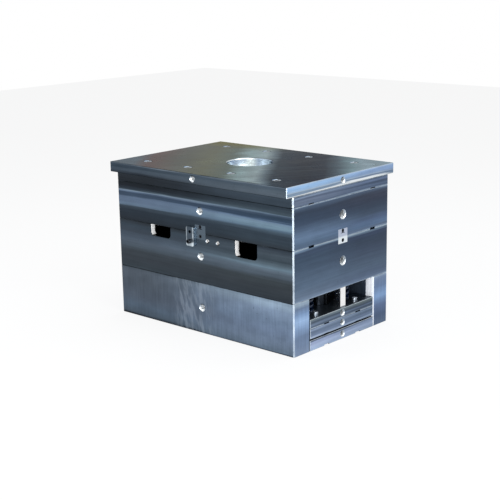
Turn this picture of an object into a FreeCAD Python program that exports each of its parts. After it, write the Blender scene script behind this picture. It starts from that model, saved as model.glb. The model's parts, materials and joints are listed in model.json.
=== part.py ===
import FreeCAD, Part

import math
import os

# Three-plate mould base, millimetres.
# +Z is the opening direction. The origin is the centre of the footprint, on the floor.
# +X is along the length, and -Y is the long face that carries the safety strap.

# ---- driving dimensions -------------------------------------------------------------------

# plates
base_length = 800.0            # every plate, along X
base_width = 500.0             # every plate but the clamp plate, along Y
clamp_overhang = 30.0          # clamp plate past the stack, each long side
leg_height = 175.0
leg_width = 80.0
core_thickness = 170.0
cavity_thickness = 135.0
stripper_thickness = 35.0
clamp_thickness = 35.0
bottom_thickness = 35.0        # bottom plate, between the legs
ejector_thickness = 35.0
retainer_thickness = 30.0
rest_button_height = 5.0
bottom_side_gap = 0.3          # bottom plate to leg
ejector_side_gap = 2.0         # ejector plates to leg

cut_past = 1.0                 # cutting tools past the face that they open

# ground edges
corner_chamfer = 4.0           # upright corners
clamp_corner_chamfer = 2.0
edge_chamfer = 1.2             # flat edges
hole_chamfer = 3.0             # mouths of tapped lifting holes

# travel
runner_gap_stroke = 105.0      # stripper plate off the cavity plate
strip_stroke = 8.0             # clamp plate off the stripper plate
ejector_stroke = 60.0

# locating bore
locating_radius = 80.0

# guide pins, core plate to cavity plate
guide_radius = 20.0
guide_head_radius = 24.0
guide_from_end = 112.0
pin_from_side = 50.0           # all four kinds of column, from the long faces
guide_reach = 112.0            # above the parting face
# support pins, clamp plate down through the stack
support_radius = 20.0
support_from_end = 48.0
support_length = 345.0
support_clearance = 3.0        # in the core plate
pin_head_height = 10.0
bush_wall = 7.0
bush_flange = 3.0              # flange past the bush wall
bush_flange_height = 8.0
running_gap = 0.05             # pin to bush, radial
head_gap = 0.4                 # pin head to counterbore, radial
pin_lead = 4.0                 # chamfer on a pin's free end

# return pins and springs
return_radius = 15.0
return_head_radius = 18.0
return_head_height = 8.0
return_from_end = 80.0
return_from_leg = 75.0
return_pin_short = 0.1         # end below the parting face
spring_radius = 27.0
spring_bore = 16.5
spring_wire = 6.0              # height of the flat wire
spring_turns = 8
spring_pocket_radius = 29.0
spring_pocket_depth = 80.0

# ejector guide pins
ejector_guide_radius = 12.5
ejector_guide_from_end = 165.0
ejector_guide_from_leg = 38.0
ejector_guide_socket = 22.0    # depth in the core plate
ejector_bush_wall = 5.0

# support pillars
pillar_radius = 30.0
pillar_from_end = 210.0        # the outer pillars of each row of three
pillar_from_leg = 102.0
end_pillar_from_end = 100.0    # on the centre line
pillar_gap = 2.0               # pillar to ejector plates

# guide posts on the retainer plate, at both ends
post_width = 27.0
post_depth = 30.0
post_inset = 8.0               # post to the end face
post_y = 12.0                  # off the centre line, so the set fits one way only
post_entry = 2.0               # post already inside the core plate at rest
post_gap = 0.5                 # post to its slot, all round
post_screw_radius = 4.0
post_screw_back = 8.0          # screw to the post's inner face

# rest buttons
rest_radius = 17.5
rest_from_end = 100.0
rest_inner_x = 110.0
rest_from_leg = 25.0

# socket screws: shank radius; head radius and height are worked out from it
leg_screw_radius = 10.0
leg_screw_from_end = 165.0
leg_screw_inner_x = 80.0
pillar_screw_radius = 8.0
ejector_screw_radius = 6.0
ejector_screw_from_end = 30.0
ejector_screw_inner_x = 150.0
ejector_screw_from_leg = 65.0
ejector_screw_sink = 4.0       # head partly in the retainer plate
lock_screw_radius = 4.0
strap_screw_radius = 5.0
thread_depth_factor = 3.0      # thread depth over shank radius
screw_gap = 0.5                # shank and head to their holes
head_radius_share = 1.5        # head over shank radius
head_height_share = 2.0
head_chamfer_share = 0.08      # over the head's radius
socket_depth_share = 0.55      # over the head's height
shoulder_socket_share = 0.65   # a shoulder bolt's socket over its shank radius

# shoulder bolts
stop_bolt_radius = 10.0
stop_bolt_head_radius = 15.0
stop_bolt_head_height = 12.0
stop_bolt_sink = 1.0           # head below the clamp plate's face
stop_bolt_from_end = 107.0
stop_bolt_inner_x = 98.0
puller_radius = 10.0
puller_head_radius = 15.0
puller_head_height = 12.0
puller_from_end = 205.0
shoulder_thread = 20.0         # thread depth in the stripper plate

# lifting holes
end_lift_radius = 13.2
end_lift_depth = 60.0
cavity_lift_share = 0.56       # up the plate's thickness
core_lift_share = 0.54
leg_lift_share = 0.51
side_lift_radius = 10.5
side_lift_depth = 48.0
thin_lift_radius = 8.5         # in the thin plates' ends
thin_lift_depth = 22.0

# side locks, one in the middle of each side of the parting line
lock_width = 48.0
lock_depth = 20.0
lock_upper = 28.0              # above the parting line
lock_lower = 20.0              # below it
lock_tongue_width = 20.0
lock_tongue_height = 14.0
lock_lead = 2.0                # chamfer on the tongue
lock_screw_sink = 1.0          # screw head inside the block's face
lock_gap = 0.02                # tongue to socket, each side
lock_seat_gap = 0.05           # block to its pocket

# pockets in the core plate's front edge
pocket_left_x = -189.0
pocket_right_x = 203.0
pocket_width = 96.0
pocket_left_height = 40.0
pocket_right_height = 54.0
pocket_depth = 120.0
pocket_corner = 14.0

# tapped holes beside the front lock
tapped_radius = 6.8
tapped_xs = (32.0, 79.0)
tapped_below_parting = 22.0
tapped_depth = 30.0
tapped_chamfer = 1.0

# safety strap
strap_x = -41.0
strap_width = 34.0
strap_height = 66.0
strap_thickness = 8.0
strap_corner = 6.0
strap_pivot_below = 30.0       # pivot screw below the parting line
strap_washer_gap = 0.2         # strap to the plate faces and to the screw head
strap_screw_depth = 24.0
strap_hole_depth = 32.0

# pry slots in the ends
pry_width = 26.0
pry_height = 4.0
pry_depth = 14.0
pry_from_side = 88.0           # in the stack
pry_from_leg = 86.0            # between the legs

# ---- levels -------------------------------------------------------------------------------

half_length = base_length / 2
half_width = base_width / 2
chamber_half = half_width - leg_width
ejector_bottom = bottom_thickness + rest_button_height
retainer_bottom = ejector_bottom + ejector_thickness
retainer_top = retainer_bottom + retainer_thickness
parting = leg_height + core_thickness
cavity_top = parting + cavity_thickness
stripper_top = cavity_top + stripper_thickness
top = stripper_top + clamp_thickness

UP = FreeCAD.Vector(0, 0, 1)
SIGNS = ((-1, -1), (1, -1), (1, 1), (-1, 1))


# ---- basic solids -------------------------------------------------------------------------

def block(x0, x1, y0, y1, z0, z1):
    return Part.makeBox(x1 - x0, y1 - y0, z1 - z0, FreeCAD.Vector(x0, y0, z0))


def rod(radius, z0, z1, x=0.0, y=0.0):
    return Part.makeCylinder(radius, z1 - z0, FreeCAD.Vector(x, y, z0), UP)


def cone(r0, r1, z0, z1, x=0.0, y=0.0):
    return Part.makeCone(r0, r1, z1 - z0, FreeCAD.Vector(x, y, z0), UP)


def revolve(profile, x=0.0, y=0.0):
    """Solid of revolution about a vertical line, from (radius, z) points."""
    points = [FreeCAD.Vector(r, 0, z) for r, z in profile]
    face = Part.Face(Part.makePolygon(points + [points[0]]))
    solid = face.revolve(FreeCAD.Vector(0, 0, 0), UP, 360)
    solid.translate(FreeCAD.Vector(x, y, 0))
    return solid


def four(x, y):
    """The four places at plus and minus x and y."""
    return [(sx * x, sy * y) for sx, sy in SIGNS]


def rows(outer_x, inner_x, y):
    """Two rows of four places, one on each side of the centre line."""
    return [(x, sy * y) for sy in (-1, 1) for x in (-outer_x, -inner_x, inner_x, outer_x)]


def cut(solid, tools):
    return solid.cut(tools) if tools else solid


def ground_plate(x0, x1, y0, y1, z0, z1, corner=corner_chamfer):
    """A plate with chamfered upright corners, and a finer chamfer round both flat faces."""
    plate = block(x0, x1, y0, y1, z0, z1)
    upright = [e for e in plate.Edges if abs(e.Vertexes[0].Z - e.Vertexes[1].Z) > 1e-6]
    plate = plate.makeChamfer(corner, upright)
    flat = [e for e in plate.Edges if abs(e.Vertexes[0].Z - e.Vertexes[1].Z) < 1e-6]
    return plate.makeChamfer(edge_chamfer, flat)


def on_side(solid, angle, reach):
    """Carry a solid built on the -Y side to another side: turn it, then push it out."""
    placed = solid.copy()
    placed.rotate(FreeCAD.Vector(0, 0, 0), UP, angle)
    away = math.radians(angle - 90)
    placed.translate(FreeCAD.Vector(reach * math.cos(away), reach * math.sin(away), 0))
    return placed


def side_hole(radius, depth, z, angle, reach, x=0.0, chamfer=hole_chamfer):
    """A blind horizontal hole with a chamfered mouth, for cutting."""
    start = FreeCAD.Vector(x, depth, z)
    outward = FreeCAD.Vector(0, -1, 0)
    hole = Part.makeCylinder(radius, depth, start, outward)
    mouth = Part.makeCone(radius, radius + chamfer, chamfer, FreeCAD.Vector(x, chamfer, z), outward)
    return on_side(hole.fuse(mouth), angle, reach)


def both_ends(radius, depth, z):
    """Lifting holes in both end faces."""
    return [side_hole(radius, depth, z, angle, half_length) for angle in (90, -90)]


def both_sides(radius, depth, z, reach=None):
    """Lifting holes in both long faces."""
    reach = half_width if reach is None else reach
    return [side_hole(radius, depth, z, angle, reach) for angle in (0, 180)]


def pry_slots(y, z0, z1):
    """Slots for a pry bar in both end faces, between two levels."""
    tools = []
    for sx in (-1, 1):
        outer = sx * (half_length + cut_past)
        inner = sx * (half_length - pry_depth)
        for sy in (-1, 1):
            tools.append(block(min(outer, inner), max(outer, inner),
                               sy * y - pry_width / 2, sy * y + pry_width / 2, z0, z1))
    return tools


# ---- fasteners and pins -------------------------------------------------------------------

def socket_head(radius, head_radius, head_height, z, x, y, facing):
    """Cylinder head with a hexagon socket. Its seat is at z, and facing is 1 for a head above."""
    head = rod(head_radius, 0, head_height)
    rim = [e for e in head.Edges if abs(e.BoundBox.ZMin - head_height) < 1e-6]
    head = head.makeChamfer(head_radius * head_chamfer_share, rim)
    corners = [FreeCAD.Vector(radius * math.cos(math.radians(60 * k)),
                              radius * math.sin(math.radians(60 * k)), head_height)
               for k in range(7)]
    socket = Part.Face(Part.makePolygon(corners)).extrude(UP * -(head_height * socket_depth_share))
    head = head.cut(socket)
    if facing < 0:
        head.rotate(FreeCAD.Vector(0, 0, 0), FreeCAD.Vector(1, 0, 0), 180)
    head.translate(FreeCAD.Vector(x, y, z))
    return head


def screw_head_radius(radius):
    return radius * head_radius_share


def screw_head_height(radius):
    return radius * head_height_share


def socket_screw(radius, seat, tip, x, y):
    """Socket head screw. Its head is above the seat when the tip is below it."""
    facing = 1 if seat > tip else -1
    head = socket_head(radius, screw_head_radius(radius), screw_head_height(radius),
                       seat, x, y, facing)
    return head.fuse(rod(radius, min(seat, tip), max(seat, tip), x, y)).removeSplitter()


def sunk_hole(radius, seat, tip, face, x, y):
    """Hole for a socket screw: thread or shank, and a counterbore from the seat to the face."""
    shank = rod(radius, min(seat, tip), max(seat, tip), x, y)
    bore = rod(screw_head_radius(radius) + screw_gap, min(seat, face), max(seat, face), x, y)
    return shank.fuse(bore)


def headed_pin(radius, head_radius, base, tip, x, y):
    """Pin with a flat head at its base and a chamfered free end, pointing up or down."""
    way = 1 if tip > base else -1
    profile = [(0, base), (head_radius, base),
               (head_radius, base + way * pin_head_height),
               (radius, base + way * pin_head_height),
               (radius, tip - way * pin_lead), (radius - pin_lead, tip), (0, tip)]
    return revolve(profile, x, y)


def flanged_bush(bore, wall, flange, low, high, x, y):
    """Bush with its flange at the upper end."""
    profile = [(bore, low), (bore + wall, low), (bore + wall, high - bush_flange_height),
               (bore + wall + flange, high - bush_flange_height),
               (bore + wall + flange, high), (bore, high)]
    return revolve(profile, x, y)


def bush_seat(bore, wall, flange, low, high, x, y):
    """The stepped hole that a flanged bush fills."""
    body = rod(bore + wall, low, high, x, y)
    return body.fuse(rod(bore + wall + flange, high - bush_flange_height, high, x, y))


# ---- places shared by neighbours ----------------------------------------------------------

pin_y = half_width - pin_from_side
guide_x = half_length - guide_from_end
support_x = half_length - support_from_end
return_x = half_length - return_from_end
return_y = chamber_half - return_from_leg
ejector_guide_x = half_length - ejector_guide_from_end
ejector_guide_y = chamber_half - ejector_guide_from_leg
puller_x = half_length - puller_from_end
pry_stack_y = half_width - pry_from_side
pry_chamber_y = chamber_half - pry_from_leg
guide_bore = guide_radius + running_gap
support_bore = support_radius + running_gap
stop_bolt_places = rows(half_length - stop_bolt_from_end, stop_bolt_inner_x, pin_y)
leg_screw_places = rows(half_length - leg_screw_from_end, leg_screw_inner_x,
                        half_width - leg_width / 2)
ejector_screw_places = rows(half_length - ejector_screw_from_end, ejector_screw_inner_x,
                            chamber_half - ejector_screw_from_leg)
rest_places = rows(half_length - rest_from_end, rest_inner_x, chamber_half - rest_from_leg)
pillar_x = half_length - pillar_from_end
pillar_y = chamber_half - pillar_from_leg
end_pillar_x = half_length - end_pillar_from_end
pillar_places = ([(x, sy * pillar_y) for sy in (-1, 1) for x in (-pillar_x, 0.0, pillar_x)]
                 + [(-end_pillar_x, 0.0), (end_pillar_x, 0.0)])
leg_screw_seat = screw_head_height(leg_screw_radius) + 2 * screw_gap
leg_screw_tip = leg_height + thread_depth_factor * leg_screw_radius
pillar_screw_seat = screw_head_height(pillar_screw_radius) + 2 * screw_gap
pillar_screw_tip = leg_height + thread_depth_factor * pillar_screw_radius
ejector_screw_seat = retainer_top - ejector_screw_sink
ejector_screw_tip = retainer_bottom - thread_depth_factor * ejector_screw_radius
post_outer = half_length - post_inset
post_inner = post_outer - post_depth
post_screw_x = post_inner + post_screw_back
post_screw_seat = ejector_bottom + screw_head_height(post_screw_radius) + 2 * screw_gap
post_screw_tip = retainer_top + thread_depth_factor * post_screw_radius
stop_bolt_floor = top - stop_bolt_sink - stop_bolt_head_height - strip_stroke
puller_head_low = parting + 2 * stop_bolt_sink
puller_ceiling = puller_head_low + puller_head_height + runner_gap_stroke
spring_top = leg_height + spring_pocket_depth
lock_sides = ((0, half_width), (180, half_width), (90, half_length), (-90, half_length))
lock_screw_seat = lock_depth - screw_head_height(lock_screw_radius) - lock_screw_sink
strap_pivot_z = parting - strap_pivot_below


# ---- side locks ---------------------------------------------------------------------------

def lock_tongue_profile(gap):
    """Tapered tongue that stands above the parting line, in the XZ plane."""
    half = lock_tongue_width / 2 + gap
    rise = lock_tongue_height + (lock_lead if gap else 0)
    shoulder = rise - lock_lead
    tip = half - lock_lead
    points = [(-half, -cut_past), (half, -cut_past), (half, shoulder), (tip, rise),
              (-tip, rise), (-half, shoulder), (-half, -cut_past)]
    wire = Part.makePolygon([FreeCAD.Vector(x, 0, parting + z) for x, z in points])
    return Part.Face(wire).extrude(FreeCAD.Vector(0, lock_depth, 0))


def lock_screw(z, x=0.0):
    """Screw along +Y, with its head just inside the block's face."""
    screw = socket_screw(lock_screw_radius, 0, -lock_depth, 0, 0)
    screw.rotate(FreeCAD.Vector(0, 0, 0), FreeCAD.Vector(1, 0, 0), 90)
    screw.translate(FreeCAD.Vector(x, lock_depth - lock_screw_seat, z))
    return screw


def lock_screw_hole(z, x=0.0):
    hole = sunk_hole(lock_screw_radius, 0, -lock_depth, lock_depth, 0, 0)
    hole.rotate(FreeCAD.Vector(0, 0, 0), FreeCAD.Vector(1, 0, 0), 90)
    hole.translate(FreeCAD.Vector(x, lock_depth - lock_screw_seat, z))
    return hole


upper_lock_screw_z = parting + (lock_tongue_height + lock_lead + lock_upper) / 2
lower_lock_screw_z = parting - lock_lower / 2


def upper_lock_block():
    half = lock_width / 2
    body = block(-half, half, 0, lock_depth, parting, parting + lock_upper)
    return body.cut([lock_tongue_profile(lock_gap), lock_screw_hole(upper_lock_screw_z)])


def lower_lock_block():
    half = lock_width / 2
    body = block(-half, half, 0, lock_depth, parting - lock_lower, parting)
    body = body.fuse(lock_tongue_profile(0)).removeSplitter()
    return body.cut(lock_screw_hole(lower_lock_screw_z))


def lock_pocket(z0, z1):
    half = lock_width / 2 + lock_seat_gap
    return block(-half, half, -cut_past, lock_depth, z0, z1)


def around(solid):
    """Copies of a solid in the middle of all four sides."""
    return [on_side(solid, angle, reach) for angle, reach in lock_sides]


# ---- fixed half of the stack --------------------------------------------------------------

def top_clamp_plate():
    reach = half_width + clamp_overhang
    plate = ground_plate(-half_length, half_length, -reach, reach, stripper_top, top,
                         clamp_corner_chamfer)
    tools = [rod(locating_radius, stripper_top, top),
             cone(locating_radius, locating_radius + 2 * edge_chamfer, top - 2 * edge_chamfer, top)]
    for x, y in four(support_x, pin_y):
        tools.append(rod(support_radius, stripper_top, top, x, y))
        tools.append(rod(guide_head_radius + head_gap, top - pin_head_height, top, x, y))
    for x, y in stop_bolt_places:
        tools.append(rod(stop_bolt_radius + screw_gap, stripper_top, top, x, y))
        tools.append(rod(stop_bolt_head_radius + screw_gap, stop_bolt_floor, top, x, y))
    middle = (stripper_top + top) / 2
    tools += both_ends(thin_lift_radius, thin_lift_depth, middle)
    tools += both_sides(thin_lift_radius, thin_lift_depth, middle, reach)
    return cut(plate, tools)


def support_pins():
    return [headed_pin(support_radius, guide_head_radius, top, top - support_length, x, y)
            for x, y in four(support_x, pin_y)]


def runner_stripper_plate():
    plate = ground_plate(-half_length, half_length, -half_width, half_width,
                         cavity_top, stripper_top)
    tools = [bush_seat(support_bore, bush_wall, bush_flange, cavity_top, stripper_top, x, y)
             for x, y in four(support_x, pin_y)]
    for x, y in stop_bolt_places:
        tools.append(rod(stop_bolt_radius, stripper_top - shoulder_thread, stripper_top, x, y))
    for x, y in four(puller_x, pin_y):
        tools.append(rod(puller_radius, cavity_top, cavity_top + shoulder_thread, x, y))
    tools += pry_slots(pry_stack_y, cavity_top - cut_past, cavity_top + pry_height)
    return cut(plate, tools)


def runner_bushes():
    return [flanged_bush(support_bore, bush_wall, bush_flange, cavity_top, stripper_top, x, y)
            for x, y in four(support_x, pin_y)]


def stop_bolts():
    """Shoulder bolts in the stripper plate. Their heads stop the clamp plate."""
    seat = stop_bolt_floor + strip_stroke
    bolts = []
    for x, y in stop_bolt_places:
        head = socket_head(stop_bolt_radius * shoulder_socket_share, stop_bolt_head_radius,
                           stop_bolt_head_height, seat, x, y, 1)
        bolts.append(head.fuse(rod(stop_bolt_radius, stripper_top - shoulder_thread,
                                   seat, x, y)).removeSplitter())
    return bolts


def puller_bolts():
    """Shoulder bolts that hang from the stripper plate. Their heads lift the cavity plate."""
    seat = puller_head_low + puller_head_height
    bolts = []
    for x, y in four(puller_x, pin_y):
        head = socket_head(puller_radius * shoulder_socket_share, puller_head_radius,
                           puller_head_height, seat, x, y, -1)
        bolts.append(head.fuse(rod(puller_radius, seat, cavity_top + shoulder_thread,
                                   x, y)).removeSplitter())
    return bolts


def cavity_plate():
    plate = ground_plate(-half_length, half_length, -half_width, half_width,
                         parting, cavity_top)
    tools = [bush_seat(support_bore, bush_wall, bush_flange, parting, cavity_top, x, y)
             for x, y in four(support_x, pin_y)]
    tools += [bush_seat(guide_bore, bush_wall, bush_flange, parting, cavity_top, x, y)
              for x, y in four(guide_x, pin_y)]
    for x, y in four(puller_x, pin_y):
        tools.append(rod(puller_radius + screw_gap, parting, cavity_top, x, y))
        tools.append(rod(puller_head_radius + screw_gap, parting, puller_ceiling, x, y))
    lift_z = parting + cavity_thickness * cavity_lift_share
    tools += both_ends(end_lift_radius, end_lift_depth, lift_z)
    tools += both_sides(side_lift_radius, side_lift_depth, lift_z)
    tools += around(lock_pocket(parting - cut_past, parting + lock_upper))
    tools += around(side_screw_thread(upper_lock_screw_z))
    tools += pry_slots(pry_stack_y, parting - cut_past, parting + pry_height)
    return cut(plate, tools)


def side_screw_thread(z):
    """The thread behind a side lock screw."""
    return Part.makeCylinder(lock_screw_radius, 2 * lock_depth - lock_screw_seat,
                             FreeCAD.Vector(0, 0, z), FreeCAD.Vector(0, 1, 0))


def cavity_support_bushes():
    return [flanged_bush(support_bore, bush_wall, bush_flange, parting, cavity_top, x, y)
            for x, y in four(support_x, pin_y)]


def guide_bushes():
    return [flanged_bush(guide_bore, bush_wall, bush_flange, parting, cavity_top, x, y)
            for x, y in four(guide_x, pin_y)]


def post_block(side, z0, z1, gap):
    """A guide post, or with a gap its slot, at one end."""
    x0, x1 = sorted((side * (post_inner - gap), side * (post_outer + gap)))
    half = post_width / 2 + gap
    return block(x0, x1, post_y - half, post_y + half, z0, z1)


# ---- moving half --------------------------------------------------------------------------

def front_pocket(centre_x, height):
    """Pocket open to the front face and the parting face, with round lower corners."""
    half = pocket_width / 2
    tool = block(centre_x - half, centre_x + half, -half_width - cut_past, pocket_depth - half_width,
                 parting - height, parting + cut_past)
    low = [e for e in tool.Edges
           if e.BoundBox.ZMax < parting and e.BoundBox.YLength > pocket_depth / 2]
    return tool.makeFillet(pocket_corner, low)


def core_plate():
    plate = ground_plate(-half_length, half_length, -half_width, half_width,
                         leg_height, parting)
    tools = [front_pocket(pocket_left_x, pocket_left_height),
             front_pocket(pocket_right_x, pocket_right_height)]
    for x, y in four(guide_x, pin_y):
        tools.append(rod(guide_radius, leg_height, parting, x, y))
        tools.append(rod(guide_head_radius + head_gap, leg_height,
                         leg_height + pin_head_height, x, y))
    for x, y in four(support_x, pin_y):
        tools.append(rod(support_radius + support_clearance, leg_height, parting, x, y))
    for x, y in four(return_x, return_y):
        tools.append(rod(return_radius + running_gap, leg_height, parting, x, y))
        tools.append(rod(spring_pocket_radius, leg_height, spring_top, x, y))
    for x, y in four(ejector_guide_x, ejector_guide_y):
        tools.append(rod(ejector_guide_radius, leg_height, leg_height + ejector_guide_socket, x, y))
    for x, y in leg_screw_places:
        tools.append(rod(leg_screw_radius, leg_height, leg_screw_tip, x, y))
    for x, y in pillar_places:
        tools.append(rod(pillar_screw_radius, leg_height, pillar_screw_tip, x, y))
    for side in (-1, 1):
        tools.append(post_block(side, leg_height, leg_height + ejector_stroke
                                + post_entry + cut_past, post_gap))
    lift_z = leg_height + core_thickness * core_lift_share
    tools += both_ends(end_lift_radius, end_lift_depth, lift_z)
    tools += both_sides(side_lift_radius, side_lift_depth, lift_z)
    tools += around(lock_pocket(parting - lock_lower, parting + cut_past))
    tools += around(side_screw_thread(lower_lock_screw_z))
    for x in tapped_xs:
        tools.append(side_hole(tapped_radius, tapped_depth, parting - tapped_below_parting,
                               0, half_width, x, tapped_chamfer))
    tools.append(Part.makeCylinder(strap_screw_radius, strap_hole_depth + cut_past,
                                   FreeCAD.Vector(strap_x, -half_width - cut_past, strap_pivot_z),
                                   FreeCAD.Vector(0, 1, 0)))
    tools += pry_slots(pry_stack_y, parting - pry_height, parting + cut_past)
    return cut(plate, tools)


def leg(side):
    """Spacer block under one long edge of the core plate. side is -1 in front, 1 behind."""
    y0, y1 = sorted((side * half_width, side * chamber_half))
    plate = ground_plate(-half_length, half_length, y0, y1, 0, leg_height)
    tools = [sunk_hole(leg_screw_radius, leg_screw_seat, leg_height, 0, x, y)
             for x, y in leg_screw_places if y * side > 0]
    angle = 0 if side < 0 else 180
    tools.append(side_hole(side_lift_radius, side_lift_depth, leg_height * leg_lift_share,
                           angle, half_width))
    return cut(plate, tools)


def bottom_plate():
    reach = chamber_half - bottom_side_gap
    plate = ground_plate(-half_length, half_length, -reach, reach, 0, bottom_thickness,
                         edge_chamfer)
    tools = [sunk_hole(pillar_screw_radius, pillar_screw_seat, bottom_thickness, 0, x, y)
             for x, y in pillar_places]
    for x, y in four(ejector_guide_x, ejector_guide_y):
        tools.append(rod(ejector_guide_radius, 0, bottom_thickness, x, y))
    tools += both_ends(thin_lift_radius, thin_lift_depth, bottom_thickness / 2)
    tools += pry_slots(pry_chamber_y, -cut_past, pry_height)
    return cut(plate, tools)


def guide_pins():
    return [headed_pin(guide_radius, guide_head_radius, leg_height, parting + guide_reach, x, y)
            for x, y in four(guide_x, pin_y)]


def support_pillars():
    """Ground pillars, bored for their bolts, between the bottom plate and the core plate."""
    pillars = []
    for x, y in pillar_places:
        pillar = rod(pillar_radius, bottom_thickness, leg_height, x, y)
        pillar = pillar.makeChamfer(edge_chamfer, [e for e in pillar.Edges if e.Closed])
        pillars.append(pillar.cut(rod(pillar_screw_radius + screw_gap,
                                      bottom_thickness, leg_height, x, y)))
    return pillars


def pillar_bolts():
    return [socket_screw(pillar_screw_radius, pillar_screw_seat, pillar_screw_tip, x, y)
            for x, y in pillar_places]


def leg_bolts():
    return [socket_screw(leg_screw_radius, leg_screw_seat, leg_screw_tip, x, y)
            for x, y in leg_screw_places]


def rest_buttons():
    """Hardened discs that the ejector plate comes to rest on."""
    buttons = []
    for x, y in rest_places:
        disc = rod(rest_radius, bottom_thickness, ejector_bottom, x, y)
        rim = [e for e in disc.Edges if e.BoundBox.ZMin > bottom_thickness + 1e-6]
        buttons.append(disc.makeChamfer(edge_chamfer, rim))
    return buttons


def ejector_guide_pins():
    pins = []
    for x, y in four(ejector_guide_x, ejector_guide_y):
        pins.append(rod(ejector_guide_radius, 0, leg_height + ejector_guide_socket, x, y))
    return pins


# ---- ejector set --------------------------------------------------------------------------

ejector_guide_bore = ejector_guide_radius + running_gap


def ejector_openings(z0, z1):
    """Clearance round the pillars, through an ejector plate."""
    return [rod(pillar_radius + pillar_gap, z0, z1, x, y) for x, y in pillar_places]


def ejector_plate():
    reach = chamber_half - ejector_side_gap
    plate = ground_plate(-half_length, half_length, -reach, reach,
                         ejector_bottom, retainer_bottom, edge_chamfer)
    tools = ejector_openings(ejector_bottom, retainer_bottom)
    for x, y in four(ejector_guide_x, ejector_guide_y):
        tools.append(rod(ejector_guide_bore + ejector_bush_wall,
                         ejector_bottom, retainer_bottom, x, y))
    for x, y in ejector_screw_places:
        tools.append(rod(ejector_screw_radius, ejector_screw_tip, retainer_bottom, x, y))
    for side in (-1, 1):
        tools.append(sunk_hole(post_screw_radius, post_screw_seat, retainer_bottom,
                               ejector_bottom, side * post_screw_x, post_y))
    tools += both_ends(thin_lift_radius, thin_lift_depth, (ejector_bottom + retainer_bottom) / 2)
    tools += pry_slots(pry_chamber_y, retainer_bottom - pry_height / 2,
                       retainer_bottom + cut_past)
    tools += pry_slots(pry_chamber_y, ejector_bottom - cut_past,
                       ejector_bottom + pry_height / 2)
    return cut(plate, tools)


def ejector_retainer_plate():
    reach = chamber_half - ejector_side_gap
    plate = ground_plate(-half_length, half_length, -reach, reach,
                         retainer_bottom, retainer_top, edge_chamfer)
    tools = ejector_openings(retainer_bottom, retainer_top)
    for x, y in four(ejector_guide_x, ejector_guide_y):
        tools.append(bush_seat(ejector_guide_bore, ejector_bush_wall, bush_flange,
                               retainer_bottom, retainer_top, x, y))
    for x, y in four(return_x, return_y):
        tools.append(rod(return_radius + screw_gap, retainer_bottom, retainer_top, x, y))
        tools.append(rod(return_head_radius + screw_gap, retainer_bottom,
                         retainer_bottom + return_head_height, x, y))
    for x, y in ejector_screw_places:
        tools.append(sunk_hole(ejector_screw_radius, ejector_screw_seat, retainer_bottom,
                               retainer_top, x, y))
    for side in (-1, 1):
        tools.append(rod(post_screw_radius, retainer_bottom, retainer_top,
                         side * post_screw_x, post_y))
    tools += both_ends(thin_lift_radius, thin_lift_depth, (retainer_bottom + retainer_top) / 2)
    tools += pry_slots(pry_chamber_y, retainer_bottom - cut_past,
                       retainer_bottom + pry_height / 2)
    return cut(plate, tools)


def return_pins():
    pins = []
    for x, y in four(return_x, return_y):
        head_top = retainer_bottom + return_head_height
        pins.append(revolve([(0, retainer_bottom), (return_head_radius, retainer_bottom),
                             (return_head_radius, head_top), (return_radius, head_top),
                             (return_radius, parting - return_pin_short),
                             (0, parting - return_pin_short)], x, y))
    return pins


def guide_posts():
    """Posts on the retainer plate that run up into slots in the core plate."""
    posts = []
    for side in (-1, 1):
        post = post_block(side, retainer_top, leg_height + post_entry, 0)
        posts.append(post.cut(rod(post_screw_radius, retainer_top, post_screw_tip,
                                  side * post_screw_x, post_y)))
    return posts


def guide_post_screws():
    return [socket_screw(post_screw_radius, post_screw_seat, post_screw_tip,
                         side * post_screw_x, post_y) for side in (-1, 1)]


def ejector_guide_bushes():
    return [flanged_bush(ejector_guide_bore, ejector_bush_wall, bush_flange,
                         ejector_bottom, retainer_top, x, y)
            for x, y in four(ejector_guide_x, ejector_guide_y)]


def ejector_screws():
    return [socket_screw(ejector_screw_radius, ejector_screw_seat, ejector_screw_tip, x, y)
            for x, y in ejector_screw_places]


def return_springs():
    """Flat-wire springs round the return pins, as stacked ridged sleeves."""
    pitch = (spring_top - retainer_top) / spring_turns
    valley = spring_radius - spring_wire / 2
    profile = [(spring_bore, retainer_top)]
    for turn in range(spring_turns):
        base = retainer_top + turn * pitch
        profile += [(spring_radius, base), (spring_radius, base + spring_wire),
                    (valley, base + spring_wire), (valley, base + pitch)]
    profile.append((spring_bore, spring_top))
    return [revolve(profile, x, y) for x, y in four(return_x, return_y)]


# ---- safety strap -------------------------------------------------------------------------

def safety_strap():
    """Flat bar with round ends across the parting line, turning on its lower screw."""
    half = strap_width / 2
    low = strap_pivot_z - half
    high = low + strap_height
    back = -half_width - strap_washer_gap
    bar = block(strap_x - half, strap_x + half, back - strap_thickness, back, low, high)
    ends = [e for e in bar.Edges if e.BoundBox.YLength > strap_thickness / 2]
    bar = bar.makeFillet(strap_corner, ends)
    along = FreeCAD.Vector(0, -1, 0)
    holes = [Part.makeCylinder(strap_screw_radius + running_gap, strap_thickness,
                               FreeCAD.Vector(strap_x, back, strap_pivot_z), along),
             Part.makeCylinder(strap_screw_radius + screw_gap, strap_thickness,
                               FreeCAD.Vector(strap_x, back, high - half), along)]
    return bar.cut(holes)


def strap_screw():
    """Pivot screw of the strap, in the core plate."""
    grip = strap_thickness + 2 * strap_washer_gap
    screw = socket_screw(strap_screw_radius, grip, -strap_screw_depth, 0, 0)
    screw.rotate(FreeCAD.Vector(0, 0, 0), FreeCAD.Vector(1, 0, 0), 90)
    screw.translate(FreeCAD.Vector(strap_x, -half_width, strap_pivot_z))
    return screw


# ---- assembly -----------------------------------------------------------------------------

def side_lock_screws(z):
    return around(lock_screw(z))


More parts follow.
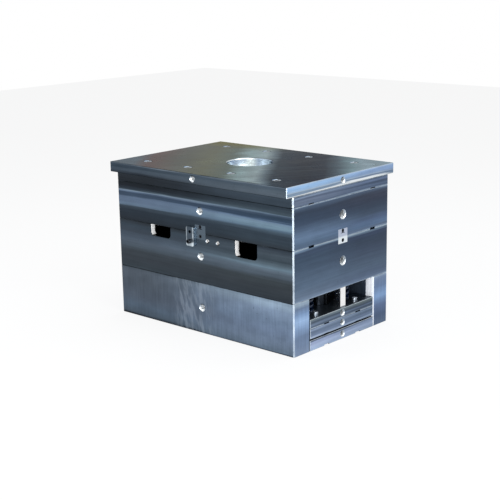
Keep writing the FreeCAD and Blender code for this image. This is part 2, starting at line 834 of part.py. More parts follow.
nodes = {
    "top_clamp_plate": top_clamp_plate(),
    "support_pins": support_pins(),
    "runner_stripper_plate": runner_stripper_plate(),
    "runner_plate_bushes": runner_bushes(),
    "stop_bolts": stop_bolts(),
    "puller_bolts": puller_bolts(),
    "cavity_plate": cavity_plate(),
    "cavity_support_bushes": cavity_support_bushes(),
    "guide_bushes": guide_bushes(),
    "side_lock_sockets": around(upper_lock_block()),
    "socket_lock_screws": side_lock_screws(upper_lock_screw_z),
    "core_plate": core_plate(),
    "guide_pins": guide_pins(),
    "side_lock_tongues": around(lower_lock_block()),
    "tongue_lock_screws": side_lock_screws(lower_lock_screw_z),
    "front_leg": leg(-1),
    "rear_leg": leg(1),
    "leg_bolts": leg_bolts(),
    "bottom_plate": bottom_plate(),
    "support_pillars": support_pillars(),
    "pillar_bolts": pillar_bolts(),
    "rest_buttons": rest_buttons(),
    "ejector_guide_pins": ejector_guide_pins(),
    "ejector_plate": ejector_plate(),
    "ejector_retainer_plate": ejector_retainer_plate(),
    "ejector_guide_bushes": ejector_guide_bushes(),
    "ejector_plate_screws": ejector_screws(),
    "return_pins": return_pins(),
    "return_springs": return_springs(),
    "guide_posts": guide_posts(),
    "guide_post_screws": guide_post_screws(),
    "safety_strap": safety_strap(),
    "strap_pivot_screw": strap_screw(),
}

os.makedirs("parts", exist_ok=True)
for name, shape in nodes.items():
    solids = shape if isinstance(shape, list) else [shape]
    whole = Part.makeCompound(solids) if len(solids) > 1 else solids[0]
    whole.exportStep(os.path.join("parts", name + ".step"))
    print(name, len(whole.Solids), "solids", round(whole.Volume / 1000), "cm3", whole.isValid())
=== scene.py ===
import json
import math

import bpy
from mathutils import Matrix, Vector

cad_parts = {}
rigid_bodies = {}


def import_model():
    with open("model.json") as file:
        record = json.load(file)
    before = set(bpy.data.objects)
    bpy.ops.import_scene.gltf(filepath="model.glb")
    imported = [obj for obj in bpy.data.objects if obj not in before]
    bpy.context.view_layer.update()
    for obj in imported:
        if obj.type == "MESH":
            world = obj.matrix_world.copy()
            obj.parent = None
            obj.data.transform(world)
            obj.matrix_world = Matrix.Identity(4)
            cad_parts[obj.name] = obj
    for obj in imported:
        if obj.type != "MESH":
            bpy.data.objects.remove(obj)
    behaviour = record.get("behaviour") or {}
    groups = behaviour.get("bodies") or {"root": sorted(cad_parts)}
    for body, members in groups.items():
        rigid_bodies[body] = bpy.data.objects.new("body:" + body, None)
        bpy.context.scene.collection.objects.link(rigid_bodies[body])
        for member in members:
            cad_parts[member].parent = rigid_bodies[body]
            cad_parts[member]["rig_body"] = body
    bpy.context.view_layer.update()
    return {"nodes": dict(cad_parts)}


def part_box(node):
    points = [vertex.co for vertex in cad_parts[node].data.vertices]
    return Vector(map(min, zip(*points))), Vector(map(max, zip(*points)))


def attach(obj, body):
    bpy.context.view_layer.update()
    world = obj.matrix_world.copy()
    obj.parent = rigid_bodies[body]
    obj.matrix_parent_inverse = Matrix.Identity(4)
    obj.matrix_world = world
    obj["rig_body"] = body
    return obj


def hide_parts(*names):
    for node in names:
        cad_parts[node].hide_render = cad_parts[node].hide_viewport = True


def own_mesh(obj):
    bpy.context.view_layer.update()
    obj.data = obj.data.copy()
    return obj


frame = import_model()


# ---- top clamp plate ----------------------------------------------------------------------
# Thick ground plate that the moulding machine clamps by its overhanging long edges. It is
# surface ground all over, so it carries fine straight grinding lines; its long soft tones are
# painted reflection bands.

class Wire:
    """The output of a node. Arithmetic on it adds Math nodes to the same material."""

    def __init__(self, tree, socket=None):
        self.tree, self.socket = tree, socket

    def node(self, kind, sockets, out=0, stops=(), **settings):
        """A new node: its settings first, then a value or a Wire for each named socket."""
        made = self.tree.nodes.new("ShaderNode" + kind)
        for name, value in settings.items():
            setattr(made, name, value)
        if stops:
            ramp = made.color_ramp
            ramp.elements[1].position = 1
            for place, colour in stops[1:-1]:
                ramp.elements.new(place).color = colour
            ramp.elements[0].position, ramp.elements[0].color = stops[0]
            ramp.elements[-1].position, ramp.elements[-1].color = stops[-1]
        for name, value in sockets.items():
            if isinstance(value, Wire):
                self.tree.links.new(value.socket, made.inputs[name])
            else:
                made.inputs[name].default_value = value
        return Wire(self.tree, made.outputs[out])

    def maths(self, operation, *values):
        return self.node("Math", dict(enumerate(values)), operation=operation)

    def __add__(self, other): return self.maths("ADD", self, other)
    def __sub__(self, other): return self.maths("SUBTRACT", self, other)
    def __rsub__(self, other): return self.maths("SUBTRACT", other, self)
    def __mul__(self, other): return self.maths("MULTIPLY", self, other)
    def __truediv__(self, other): return self.maths("DIVIDE", self, other)
    def __pow__(self, other): return self.maths("POWER", self, other)
    def __abs__(self): return self.maths("ABSOLUTE", self)
    __radd__ = __add__
    __rmul__ = __mul__

    def between(self, low, high):
        """0 below low, 1 above high, and smooth between; the other way round if high < low."""
        ends = {"From Min": low, "From Max": high}
        return self.node("MapRange", {"Value": self, **ends}, interpolation_type="SMOOTHSTEP")

    def split(self):
        """The x, y and z of a vector."""
        return [self.node("SeparateXYZ", {"Vector": self}, out=axis) for axis in "XYZ"]

    def least(self, other):
        return self.maths("MINIMUM", self, other)

    def most(self, other):
        return self.maths("MAXIMUM", self, other)

    def mix(self, low, high):
        """The colour low where this is 0, and high where it is 1."""
        return self.node("Mix", {0: self, 6: low, 7: high}, out=2, data_type="RGBA")


def tone(code):
    """A colour from six hexadecimal digits, as the linear values that nodes take."""
    parts = [int(code[k:k + 2], 16) / 255 for k in (0, 2, 4)]
    return tuple(c / 12.92 if c < 0.04045 else ((c + 0.055) / 1.055) ** 2.4
                 for c in parts) + (1.0,)


def tones(text):
    """Ramp stops from words such as 20:3a4654, a per cent and a colour."""
    pairs = [word.split(":") for word in text.split()]
    return [(float(place) / 100, tone(code)) for place, code in pairs]


def new_finish(name):
    """A material, a first Wire to make nodes with, and its Principled shader."""
    material = bpy.data.materials.new(name)
    material.use_nodes = True
    tree = material.node_tree
    return material, Wire(tree), tree.nodes["Principled BSDF"].inputs


def connect(shader, **wires):
    for name, wire in wires.items():
        wire.tree.links.new(wire.socket, shader[name.replace("_", " ")])


def noise(start, place, size, stretch=(1, 1, 1), detail=3.0):
    """Cloudy pattern from 0 to 1, with features of about that size in metres."""
    scale = [1 / (size * s) for s in stretch]
    spread = start.node("Mapping", {"Vector": place, "Scale": scale})
    return start.node("TexNoise", {"Vector": spread, "Scale": 1.0, "Detail": detail}, out="Fac")


def dress(node, material):
    """Give a CAD node's material slots this finish."""
    mesh = frame["nodes"][node].data
    if not mesh.materials:
        mesh.materials.append(material)
    for slot in range(len(mesh.materials)):
        mesh.materials[slot] = material


lift_heights = {}


def ground_steel(node, lift, left, right, near, far, top=None, extra=None,
                 dull=None, grain_along_x=True, gloss=0.34, grazing=1.0):
    """Ground plate steel. lift is the height of its lifting holes. The four texts are tones up
    the plate, on the long sides at the left and right, and on the ends near and far: painted
    reflection bands, with the ends painted lighter than the long sides as painted light. top
    paints the upper face, extra adds marks of this plate, and dull says where it isn't metallic."""
    lift_heights[node] = lift
    material, start, shader = new_finish(node + "_steel")
    low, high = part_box(node)
    place = start.node("TexCoord", {}, out="Object")
    x, y, z = place.split()
    nx, ny, nz = start.node("NewGeometry", {}, out="Normal").split()
    wide_x, wide_y, wide_z = abs(nx), abs(ny), abs(nz)

    drift = (noise(start, place, 0.30, (1.6, 1.6, 0.5)) - 0.5) * (0.012 / (high.z - low.z))
    ripple = (noise(start, place, 0.009, (40, 40, 1)) - 0.5) * (0.016 / (high.z - low.z))
    up = (z - low.z) / (high.z - low.z) + drift + ripple
    cloud = noise(start, place, 0.12) - 0.5
    along = (x + 0.12 * cloud).between(-0.26, 0.30)
    across = (y + 0.10 * cloud).between(-0.20, 0.20)
    # painted reflection bands up each face, and the ends painted lighter than the long sides as
    # painted light
    long_side = along.mix(start.node("ValToRGB", {"Fac": up}, stops=tones(left)),
                          start.node("ValToRGB", {"Fac": up}, stops=tones(right)))
    end_side = across.mix(start.node("ValToRGB", {"Fac": up}, stops=tones(near)),
                          start.node("ValToRGB", {"Fac": up}, stops=tones(far)))
    colour = wide_x.between(0.6, 0.8).mix(long_side, end_side)
    if top:
        flat = top(start, place, x, y)
    else:
        flat = start.node("ValToRGB", {"Fac": noise(start, place, 0.12, (2, 1, 1))},
                          stops=tones("30:49545f 70:6d7a86"))
    colour = wide_z.between(0.6, 0.8).mix(colour, flat)

    # painted highlight on the chamfers of the ends and upright corners, and painted shade on those
    # along the long sides, broken into patches
    edge = wide_x.most(wide_y.most(wide_z)).between(0.95, 0.8)
    upright = wide_x.between(0.4, 0.6)
    patchiness = noise(start, place, 0.02, (2, 2, 2)).between(0.25, 0.6) * 0.45 + 0.4
    colour = (edge * patchiness).mix(colour, upright.mix(tone("161c22"), tone("c3cfda")))

    # mouths of the lifting holes on the middle lines: their lower walls carry a painted highlight
    middle = abs(x).least(abs(y)).between(0.019, 0.017)
    reach = min(0.019, 0.42 * (high.z - low.z))
    sunk = (high.x - abs(x)).least(max(high.y, -low.y) - abs(y))
    mouth = (middle * abs(z - lift).between(reach, reach - 0.002) * nz.between(-0.15, 0.25)
             * sunk.between(0.0002, 0.0005) * sunk.between(0.06, 0.05))
    colour = mouth.mix(colour, tone("eef3f6"))
    if extra:
        colour = extra(start, colour, place, (nx, ny, nz))

    # straight grinding lines, and a thin uneven film of oil
    if grain_along_x:
        lines = noise(start, place, 0.0016, (60, 60, 1), 2.0)
        coarse = noise(start, place, 0.007, (30, 30, 1), 2.0)
    else:
        lines = noise(start, place, 0.0016, (1, 1, 60), 2.0)
        coarse = noise(start, place, 0.007, (1, 1, 12), 2.0)
    film = noise(start, place, 0.035, (1.5, 1.5, 0.8), 5.0)
    specks = noise(start, place, 0.006, detail=6.0).between(0.66, 0.74)
    shade = 0.66 + 0.14 * lines + 0.36 * coarse + 0.24 * (film - 0.5)
    grey = start.node("CombineXYZ", {"X": shade, "Y": shade, "Z": shade})
    colour = start.node("Mix", {0: 1.0, 6: colour, 7: grey}, out=2,
                        data_type="RGBA", blend_type="MULTIPLY")
    colour = (specks * 0.35).mix(colour, tone("2b3037"))
    rough = gloss + 0.10 * (film - 0.5) + 0.06 * lines
    height = 0.5 * lines + 0.5 * film
    bump = start.node("Bump", {"Height": height, "Distance": 0.00025, "Strength": 0.35})
    connect(shader, Base_Color=colour, Roughness=rough, Normal=bump)
    if dull:
        connect(shader, Metallic=1 - dull(place, (nx, ny, nz)))
    else:
        shader["Metallic"].default_value = 1.0
    shader["Specular Tint"].default_value = (grazing, grazing, grazing, 1)
    dress(node, material)


def clamp_face(start, place, x, y):
    """Long diagonal painted reflection bands across the polished upper face, with an olive painted
    reflection at the back left.
    """
    sway = (noise(start, place, 0.35) - 0.5) * 0.05
    turned = start.node("Mapping", {"Vector": place, "Rotation": (0, 0, math.radians(-53))})
    streak = start.node("TexNoise", {"Vector": start.node("Mapping", {
        "Vector": turned, "Scale": (5, 60, 1)}), "Scale": 1.0, "Detail": 3.0}, out="Fac")
    slant = ((0.8 * x + 0.6 * y) + sway + 0.05 * (streak - 0.5) + 0.40) / 0.80
    face = start.node("ValToRGB", {"Fac": slant}, stops=tones(
        "0:8698a6 7:947c7a 20:8e928a 32:9a9e88 42:8e9e96 48:c4e2e6 55:d8f0f6 59:8ea4b2"
        " 62:465868 67:3a4a5c 74:2c3a4c 82:324054 87:6a8090 93:acd0dc 98:c8e4f2"))
    # olive painted reflection at the back left
    olive_reflection = y.between(0.16, 0.27) * x.between(-0.02, -0.24)
    face = (olive_reflection * 0.8).mix(face, tone("a6a04c"))
    fine = noise(start, turned, 0.006, (40, 1, 1), 3.0)
    return (fine.between(0.45, 0.75) * 0.25).mix(face, tone("9fb0ba"))


def bore_inside(start, colour, place, normal):
    """The locating bore is painted bright inside and pale blue on its far right, as painted
    reflections.
    """
    x, y, z = place.split()
    inside = ((x * x + y * y) ** 0.5).between(0.0815, 0.0808)
    blue = (x + y).between(0.02, 0.05)
    # painted reflections inside the bore
    return inside.mix(colour, blue.mix(tone("eef4f4"), tone("c8d6e8")))


# Its tone texts are painted reflection bands; the bright lowest part of each end is a painted
# highlight.
ground_steel("top_clamp_plate", 0.5325,
             "0:282d34 30:4a5561 55:4a5662 70:3e4a56 92:46525f 100:74808c",
             "0:5a6672 30:5a6672 60:56636f 85:4c5a68 100:74808c",
             "0:eef4f8 14:eef4f8 20:8aa0b8 32:8aa0b8 42:c0d2e4 50:a4c0e0 75:a2caf6 100:c0daf8",
             "0:eef4f8 14:eef4f8 20:7a8fa8 32:7a8ba6 42:a8bcd4 50:90a8cc 75:96b2da 100:b4cae8",
             top=clamp_face, extra=bore_inside, gloss=0.22, grazing=0.3)


# ---- plates of the fixed side -------------------------------------------------------------
# The thin runner stripper plate and the thick cavity plate under it, both ground on all
# faces. The support pins and the puller bolts hold them in line.

# For both plates the tone texts are painted reflection bands, with the ends lighter as painted
# light.
ground_steel("runner_stripper_plate", 0.0, "0:22282f 50:272d34 100:2c333b",
             "0:38434e 50:3d4955 100:46525f",
             "0:a0b2c8 12:5c6c84 40:728098 60:5c6a82 80:8698b2 100:5a6a80",
             "0:90a4bc 12:50607a 40:5c6e8a 60:46566e 80:687a9a 100:4c5c74", extra=bore_inside)

ground_steel("cavity_plate", 0.4206,
             "0:262d35 14:2a333d 28:2c3641 38:3e4a56 41:64788e 50:62748c 63:5e7088 66:3c4c60"
             " 72:3a4a5e 75:566880 79:7c8ea2 81:46545f 84:2a343e 89:20262e 100:1a2026",
             "0:333b43 14:38444f 30:384450 38:485866 44:5a7084 50:7893a6 58:7890a6 62:6c84a0"
             " 66:3c4e64 74:344456 77:48586c 79:64788c 82:46545f 92:38444f 100:303a44",
             "0:8ea4be 3:5c6f88 12:586e88 26:6a82a0 40:5e7490 56:45566e 70:3a4a60 86:38465a"
             " 97:50627a 100:7c90a8",
             "0:8ea4be 3:5e6f88 12:5c7494 26:526584 40:44546a 56:38465a 70:363f52 86:3c4456"
             " 97:4f6078 100:7488a0")


def in_pockets(place):
    """Where the two pockets are, behind the front face."""
    x, y, z = place.split()
    return y.between(-0.2494, -0.2488) * z.between(0.288, 0.2905) * abs(x).between(0.262, 0.258)


def pocket_wall_highlight(place, normal):
    """The front of the pockets' left walls, down into their lower corners, where the painted
    highlight goes.
    """
    y = place.split()[1]
    return in_pockets(place) * y.between(-0.228, -0.234) * normal[0].between(0.35, 0.75)


def front_pockets(start, colour, place, normal):
    """The pockets are painted dark inside, as painted shade, except for the left walls, which get
    a painted white highlight where they face the light.
    """
    y = place.split()[1]
    # painted shade inside the pockets
    colour = (in_pockets(place) * y.between(-0.128, -0.130)).mix(colour, tone("06080a"))
    # painted highlight on the front of the left walls
    return pocket_wall_highlight(place, normal).mix(colour, tone("ffffff"))


# The tone texts are painted reflection bands, with painted highlight at the bottom and top of the
# ends and painted shade at the top of the long sides.
ground_steel("core_plate", 0.2668,
             "0:38424a 20:383f47 38:3e464e 46:4c5864 56:525e6c 64:4e5b6a 72:465260 78:3e4854"
             " 90:384450 97:303840 100:20262c",
             "0:343c44 20:3a4148 36:3e464c 44:4e5a66 54:5e6c7a 61:6c8292 67:586874 76:3e4a54"
             " 88:4a5661 97:39434e 100:262d34",
             "0:a0b2c8 3:7a8ea8 10:66788f 28:5c7088 44:54677e 62:485a70 80:42546a 94:405068"
             " 97:6c829c 100:a8bccc",
             "0:8ea2bc 3:62748e 10:54657f 28:506278 44:48586e 62:3e4c62 80:364458 94:384660"
             " 97:64788e 100:a0b4c4",
             extra=front_pockets, dull=pocket_wall_highlight)


# ---- legs ---------------------------------------------------------------------------------
# Two long spacer blocks that carry the core plate and leave room for the ejector set. They
# are milled rather than ground, with upright streaks; their paler tones are painted reflection
# bands.

def inner_wall_highlight(place, normal):
    """The ends of the walls that face the ejector plates: a painted highlight makes them pale."""
    x, y, z = place.split()
    return (normal[1] * y).between(-0.10, -0.14) * x.between(0.366, 0.372)


def mill_streaks(start, colour, place, normal):
    """Upright rubbed streaks near the middle of the long side, and the painted highlight on the
    inner wall.
    """
    x, y, z = place.split()
    facing = abs(normal[1]).between(0.6, 0.8)
    whole = start.node("CombineXYZ", {"X": x + 0.25 * z, "Y": y, "Z": z})
    rubbed = noise(start, whole, 0.013, (1, 1, 4.0), 5.0).between(0.42, 0.62)
    zone = abs(x + 0.04).between(0.11, 0.05) * facing
    colour = (rubbed * zone * 0.26).mix(colour, tone("a9b6c6"))
    blots = noise(start, place, 0.06, (1.6, 1, 1), 4.0).between(0.35, 0.65)
    colour = ((1 - blots) * 0.25 * facing).mix(colour, tone("38424e"))
    # painted highlight on the inner wall ends
    return inner_wall_highlight(place, normal).mix(colour, tone("f4f8ff"))


leg_end_reflections = {
    "front_leg": "0:8698b4 20:7a8eac 34:7488a6 50:8aa4c8 66:a6c4ea 78:84a0c6 90:7488a6 100:a8bccc",
    "rear_leg": "0:5c6e88 20:506280 40:62769a 58:88a8d2 78:7088ac 92:7488a8 100:94a8c0"}
# The long-side tones are painted reflection bands, with painted shadow along the foot and painted
# shade at the top edge; the end tones are painted reflection bands.
for node, end in leg_end_reflections.items():
    ground_steel(node, 0.0893,
                 "0:10151a 2:1c242c 5:4c5a68 22:566678 40:545f6e 70:525c68 93:545e6a"
                 " 98:4e5862 100:20262c",
                 "0:141a20 2:242e38 5:6c7e92 20:788aa2 40:7486a0 60:788ca6 80:869ab4"
                 " 93:9cb2c8 98:90a4b8 100:20262c",
                 end, end, extra=mill_streaks, grain_along_x=False, gloss=0.4, dull=inner_wall_highlight)


# ---- bottom plate and ejector plates ------------------------------------------------------
# Three thin plates between the legs: the fixed bottom plate, and above it the ejector plate
# and its retainer plate, which slide together.

# The end tones are painted reflection bands.
ground_steel("bottom_plate", 0.0175, "0:46525f 100:5a6878", "0:46525f 100:5a6878",
             "0:b0c4e0 20:a8bcda 50:b4c4e4 86:9cacce 93:606e86 100:4c586c",
             "0:8c9eb8 50:94a6c4 86:788aa6 93:4c5a70 100:3c485c")
ground_steel("ejector_plate", 0.0575, "0:46525f 100:5a6878", "0:46525f 100:5a6878",
             "0:8496b4 14:b0c0d8 30:8294b2 60:6c7e98 84:94a6c2 100:4c5c72",
             "0:6f80a0 14:94a8c0 30:6a7c98 60:56687f 84:7c90aa 100:3c4a5c")
ground_steel("ejector_retainer_plate", 0.09, "0:46525f 100:5a6878", "0:46525f 100:5a6878",
             "0:8a9cb8 18:4c5a6c 36:7a8ca6 60:4a5868 78:6c7c8c 100:8e9a98",
             "0:74869c 18:3c4a5c 36:5e708a 60:3a4656 78:56646f 100:74807c")


# ---- hardened parts -----------------------------------------------------------------------
# Pins, pillars, side locks, guide posts and the strap: hardened and ground. The parts inside
# the base are painted dark, as painted shade, and the guide posts white, as a painted highlight.

def bright_steel(name, colour, nodes, gloss=0.25, side=None, extra=None, grazing=1.0):
    """Turned and ground steel for those nodes. side is a darker tone painted on faces to the
    front, as painted shade, and extra adds marks of this part."""
    material, start, shader = new_finish(name)
    place = start.node("TexCoord", {}, out="Object")
    normal = start.node("NewGeometry", {}, out="Normal").split()
    lines = noise(start, place, 0.0012, (8, 8, 1), 2.0)
    film = noise(start, place, 0.02, detail=4.0)
    dark = tuple(c * 0.7 for c in tone(colour)[:3]) + (1.0,)
    finish = (0.4 * lines + 0.6 * film).mix(dark, tone(colour))
    if side:
        finish = normal[1].between(-0.75, -0.9).mix(finish, tone(side))
    if extra:
        finish = extra(start, finish, place, normal)
    connect(shader, Base_Color=finish, Roughness=gloss + 0.1 * film)
    shader["Metallic"].default_value = 1.0
    shader["Specular Tint"].default_value = (grazing, grazing, grazing, 1)
    for node in nodes:
        dress(node, material)


def pin_heads(start, colour, place, normal):
    """Heads in the clamp plate are ground with it, so they carry its painted reflection bands."""
    x, y, z = place.split()
    return z.between(0.5490, 0.5495).mix(colour, clamp_face(start, place, x, y))


def lit_lower_lock(start, colour, place, normal):
    """On the ends the lower half of the lock has a painted highlight, and on the long sides it is
    dull.
    """
    x, y, z = place.split()
    end = abs(normal[0]).between(0.6, 0.8)
    return (end * z.between(0.350, 0.344)).mix(colour, tone("dfe8ee"))


strap_middle = -0.041


def strap_edges(start, colour, place, normal):
    """Brighter along the right edge, less along the left edge and the foot, and most at the lower
    right corner.
    """
    x, y, z = place.split()
    across = x - strap_middle
    right = across.between(0.010, 0.0125) * 0.7
    left = across.between(-0.0125, -0.0145) * 0.45
    foot = z.between(0.311, 0.303) * 0.6
    corner = across.between(-0.004, 0.010) * z.between(0.330, 0.306)
    patchiness = noise(start, place, 0.012).between(0.3, 0.6)
    rim = corner.most(right.most(left + foot))
    return (rim * (0.5 + 0.5 * patchiness)).mix(colour, tone("d4e0e8"))


bright_steel("pins_bright", "aab6c2", ("guide_pins", "support_pins"), gloss=0.2,
             extra=pin_heads, grazing=0.3)
# the locks' front faces get painted shade, and the lower halves of their ends a painted highlight
bright_steel("locks", "c2cce0", ("side_lock_sockets", "side_lock_tongues"), side="56636f",
             extra=lit_lower_lock)
bright_steel("strap", "4c5864", ("safety_strap",), extra=strap_edges)
# The guide posts are painted pure white all over, as a painted highlight.
bright_steel("post", "ffffff", ("guide_posts",), gloss=0.12)
# parts inside the base painted dark, as painted shade
bright_steel("inner_painted_shade", "2c3036", ("support_pillars", "rest_buttons", "ejector_guide_pins"))
bright_steel("return_pins", "8a949e", ("return_pins",))
bright_steel("bronze", "b08850", ("runner_plate_bushes", "cavity_support_bushes", "guide_bushes",
                                 "ejector_guide_bushes"))
bright_steel("stop_bolts", "c4ccd2", ("stop_bolts",), gloss=0.3, grazing=0.5)
bright_steel("black_screws", "3c4046", ("puller_bolts", "socket_lock_screws",
             "tongue_lock_screws", "leg_bolts", "pillar_bolts", "guide_post_screws",
             "strap_pivot_screw"), gloss=0.4)
bright_steel("plated_screws", "dfe6ee", ("ejector_plate_screws",), gloss=0.3)


# ---- return springs -----------------------------------------------------------------------
# Die springs round the return pins, coiled from flat wire, with both ends ground flat and
# painted dark blue. They push the ejector plates down and shorten as the plates come up;
# here each is one fixed shape that rides with the moving half.

def coil(name, corners, size, radius, start, pitch, turns, steps):
    """A helix about z, of a wire with that many corners, size[0] wide and size[1] high. A wire
    with three corners has one of them towards the axis."""
    bpy.ops.object.select_all(action="DESELECT")
    bpy.ops.mesh.primitive_circle_add(vertices=corners, radius=0.5, fill_type="NGON")
    piece = bpy.context.object
    piece.name = name
    bpy.ops.object.mode_set(mode="EDIT")
    bpy.ops.mesh.select_all(action="SELECT")
    turn = math.pi / 2 if corners == 3 else math.pi / corners
    bpy.ops.transform.rotate(value=-turn, orient_axis="Z", center_override=(0, 0, 0))
    bpy.ops.transform.rotate(value=-math.pi / 2, orient_axis="X", center_override=(0, 0, 0))
    bpy.ops.object.mode_set(mode="OBJECT")
    wide, _, high = piece.dimensions
    bpy.ops.object.mode_set(mode="EDIT")
    bpy.ops.transform.resize(value=(size[0] / wide, 1, size[1] / high),
                             center_override=(0, 0, 0))
    if corners == 4:
        bpy.ops.mesh.bevel(offset=0.0014, segments=3, affect="VERTICES")
    bpy.ops.transform.translate(value=(radius, 0, start))
    bpy.ops.object.mode_set(mode="OBJECT")
    screw = piece.modifiers.new("turns", "SCREW")
    screw.screw_offset, screw.iterations = pitch, turns
    screw.steps = screw.render_steps = steps
    bpy.ops.object.modifier_apply(modifier="turns")
    return piece


def close_up(piece, low=None, high=None):
    """Cut a helix off flat at any heights given, close its ends and turn its faces outwards."""
    bpy.ops.object.mode_set(mode="EDIT")
    for height, below in ((low, True), (high, False)):
        if height is not None:
            bpy.ops.mesh.select_all(action="SELECT")
            bpy.ops.mesh.bisect(plane_co=(0, 0, height), plane_no=(0, 0, 1), use_fill=True,
                                clear_inner=below, clear_outer=not below)
    bpy.ops.mesh.select_all(action="SELECT")
    bpy.ops.mesh.fill_holes(sides=0)
    bpy.ops.mesh.select_all(action="SELECT")
    bpy.ops.mesh.remove_doubles(threshold=0.00001)
    bpy.ops.mesh.normals_make_consistent(inside=False)
    bpy.ops.object.mode_set(mode="OBJECT")
    bpy.ops.object.shade_smooth_by_angle(angle=math.radians(35))


spring_outer, spring_inner, spring_wire_height, spring_turns = 0.0268, 0.0172, 0.0085, 8
cad_spring_radius = 0.027
low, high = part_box("return_springs")
length = high.z - low.z
pitch = length / spring_turns
spring = coil("return_spring", 4, (spring_outer - spring_inner, spring_wire_height),
              (spring_outer + spring_inner) / 2, -pitch, pitch, spring_turns + 2, 40)
close_up(spring, 0, length)

# The springs' blue is made near black, partly as painted shade inside the base; the lighter rubbed
# patches are wear.
material, start, shader = new_finish("spring_dark_blue_and_shade")
place = start.node("TexCoord", {}, out="Object")
rubbed = noise(start, place, 0.004, detail=5.0).between(0.60, 0.72)
orange_peel = noise(start, place, 0.0012)
shader["Roughness"].default_value = 0.32
connect(shader, Base_Color=rubbed.mix(tone("0c1c34"), tone("2c343e")), Metallic=rubbed,
        Normal=start.node("Bump", {"Height": orange_peel, "Distance": 0.0001, "Strength": 0.4}))
spring.data.materials.append(material)
for number, (side_x, side_y) in enumerate(((1, 1), (1, -1), (-1, 1), (-1, -1))):
    x, y = side_x * (high.x - cad_spring_radius), side_y * (high.y - cad_spring_radius)
    copy = bpy.data.objects.new(f"return_spring_{number + 1}", spring.data.copy())
    copy.data.transform(Matrix.Translation((x, y, low.z)))
    bpy.context.collection.objects.link(copy)
    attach(copy, "moving_half")
    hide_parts("return_springs")
    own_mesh(copy)
bpy.data.objects.remove(spring)


# ---- threads of the lifting holes ---------------------------------------------------------
# Each lifting hole is tapped for an eye bolt. The thread starts inside the chamfered mouth.
# Its faces that look down are painted dark, as painted shade, and the rest bright, as a
# painted highlight.

material, start, shader = new_finish("tapped_thread")
place = start.node("TexCoord", {}, out="Object")
nz = start.node("NewGeometry", {}, out="Normal").split()[2]
oil = noise(start, place, 0.006, detail=4.0)
# painted shade on thread faces that look down, painted highlight on the rest
wall = nz.between(-0.65, -0.1).mix(tone("20262c"), tone("e8eef2"))
shader["Metallic"].default_value = 1.0
connect(shader, Base_Color=(oil * 0.4).mix(wall, tone("3a4048")), Roughness=0.28 + 0.1 * oil)

thick_end, long_side, thin_plate = 0.0132, 0.0105, 0.0085      # radii of the tapped holes
thread_pitches = {thick_end: 0.003, long_side: 0.0025, thin_plate: 0.002}
mouth_depth = 0.003
ridges = {}
for radius, pitch in thread_pitches.items():
    ridge = coil("thread", 3, (pitch * 0.7, pitch * 0.8), radius - pitch * 0.25, 0, pitch, 9, 24)
    close_up(ridge)
    ridge.data.materials.append(material)
    ridges[radius] = ridge

# each hole: its plate, its radius, and how far round from the front its face is
thick_plates = ("cavity_plate", "core_plate")
thin_plates = ("top_clamp_plate", "bottom_plate", "ejector_plate", "ejector_retainer_plate")
holes = [(node, thick_end, turn) for node in thick_plates for turn in (90, -90)]
holes += [(node, long_side, turn) for node in thick_plates for turn in (0, 180)]
holes += [(node, thin_plate, turn) for node in thin_plates for turn in (90, -90)]
holes += [("top_clamp_plate", thin_plate, turn) for turn in (0, 180)]
holes += [("front_leg", long_side, 0), ("rear_leg", long_side, 180)]
for number, (node, radius, turn) in enumerate(holes):
    low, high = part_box(node)
    reach = high.x if abs(turn) == 90 else max(high.y, -low.y)
    piece = bpy.data.objects.new(f"{node}_thread_{number + 1}", ridges[radius].data.copy())
    piece.data.transform(Matrix.Rotation(-math.pi / 2, 4, "X"))
    piece.data.transform(Matrix.Translation((0, mouth_depth - reach, lift_heights[node])))
    piece.data.transform(Matrix.Rotation(math.radians(turn), 4, "Z"))
    bpy.context.collection.objects.link(piece)
    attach(piece, frame["nodes"][node]["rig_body"])
for ridge in ridges.values():
    bpy.data.objects.remove(ridge)


# ---- room, light and camera ---------------------------------------------------------------
# A plain pale floor, soft lamps to the left, right and above, and the camera.

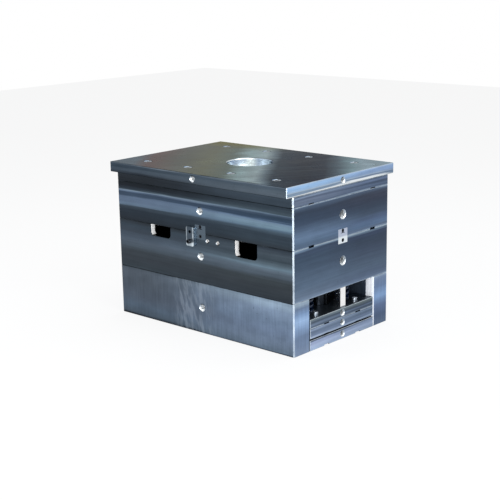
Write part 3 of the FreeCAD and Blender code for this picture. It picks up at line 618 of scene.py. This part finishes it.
def seen_rays(start):
    """1 for what the camera sees straight, in gloss or through glass, and 0 for lighting."""
    straight, glossy, through = (
        start.node("LightPath", {}, out=f"Is {kind} Ray")
        for kind in ("Camera", "Glossy", "Transmission"))
    return straight.most(glossy).most(through)


bpy.ops.object.select_all(action="DESELECT")
bpy.ops.mesh.primitive_plane_add(size=14, location=(0, 0, -0.0005))
floor = bpy.context.object
floor.name = "floor"
material, start, shader = new_finish("pale_floor")
shader["Base Color"].default_value = tone("e6e8ea")
shader["Roughness"].default_value = 0.9
glow = start.node("Emission", {"Color": tone("ffffff")}, out="Emission")
matte = Wire(start.tree, start.tree.nodes["Principled BSDF"].outputs["BSDF"])
seen_floor = start.node("MixShader", {0: seen_rays(start) * 0.85, 1: matte, 2: glow})
start.tree.links.new(seen_floor.socket, start.tree.nodes["Material Output"].inputs["Surface"])
floor.data.materials.append(material)

world = bpy.data.worlds.new("studio")
bpy.context.scene.world = world
world.use_nodes = True
start = Wire(world.node_tree)
background = world.node_tree.nodes["Background"]
background.inputs["Color"].default_value = (1, 1, 1, 1)
world.node_tree.links.new((0.55 + 0.45 * seen_rays(start)).socket,
                          background.inputs["Strength"])

object_middle = Vector((0, 0, 0.28))
lamps = (("key", (2.6, -0.6, 2.4), 1.6, 45), ("fill", (-1.8, -2.6, 1.8), 2.0, 30),
         ("high", (0.2, 0.6, 3.2), 2.2, 40), ("low", (2.4, -3.0, 0.7), 1.2, 85))
for name, at, size, watts in lamps:
    lamp = bpy.data.lights.new(name, "AREA")
    lamp.energy, lamp.size = watts, size
    holder = bpy.data.objects.new(name, lamp)
    holder.location = at
    holder.rotation_euler = (object_middle - Vector(at)).to_track_quat("-Z", "Y").to_euler()
    bpy.context.collection.objects.link(holder)

camera = bpy.data.objects.new("camera", bpy.data.cameras.new("camera"))
camera.location = (2.5855, -2.8687, 1.2116)
camera.rotation_euler = [math.radians(a) for a in (75.8696, 0.9299, 41.8533)]
camera.data.lens = 82.328
camera.data.clip_end = 50
bpy.context.collection.objects.link(camera)
bpy.context.scene.camera = camera
bpy.context.scene.view_settings.view_transform = "Standard"
